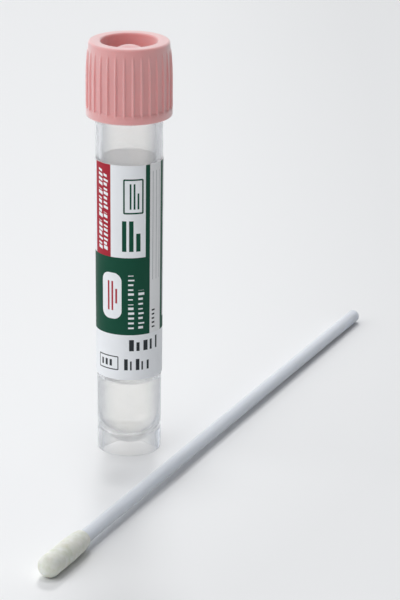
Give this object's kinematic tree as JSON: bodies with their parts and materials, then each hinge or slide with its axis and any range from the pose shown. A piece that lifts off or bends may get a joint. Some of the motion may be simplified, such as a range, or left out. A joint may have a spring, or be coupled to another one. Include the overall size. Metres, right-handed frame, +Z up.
{
  "type": "specimen swab tube",
  "caption": "Self-standing round-bottomed transport tube with ribbed screw cap, printed wrap label and liquid medium, with its collection swab lying beside it.",
  "frame": {"origin": "middle of the footprint of the tube and the swab together, on the surface that they stand on", "axes": "+Z up along the tube, +Y away from the label's front, along which the set is longest, +X to the right of the label's front"},
  "size_m": [0.0598, 0.1368, 0.0777],
  "materials": {
    "clear_plastic": "clear, slightly milky",
    "cap_plastic": "satin moulded",
    "label_paper": "coated, printed in red and dark green",
    "medium": "clear liquid",
    "rod_plastic": "smooth, slightly translucent",
    "bud_fibre": "wound fibre"
  },
  "bodies": {
    "tube_body": {"tube": "clear_plastic", "label": "label_paper", "transport_medium": "medium", "swab_shaft": "rod_plastic", "swab_tip": "bud_fibre"},
    "cap": {"screw_cap": "cap_plastic"}
  },
  "joints": [
    {"name": "cap_lift", "type": "slide", "parent": "tube_body", "child": "cap", "axis": [0, 0, 1], "range_m": [0, 0.025]}
  ]
}
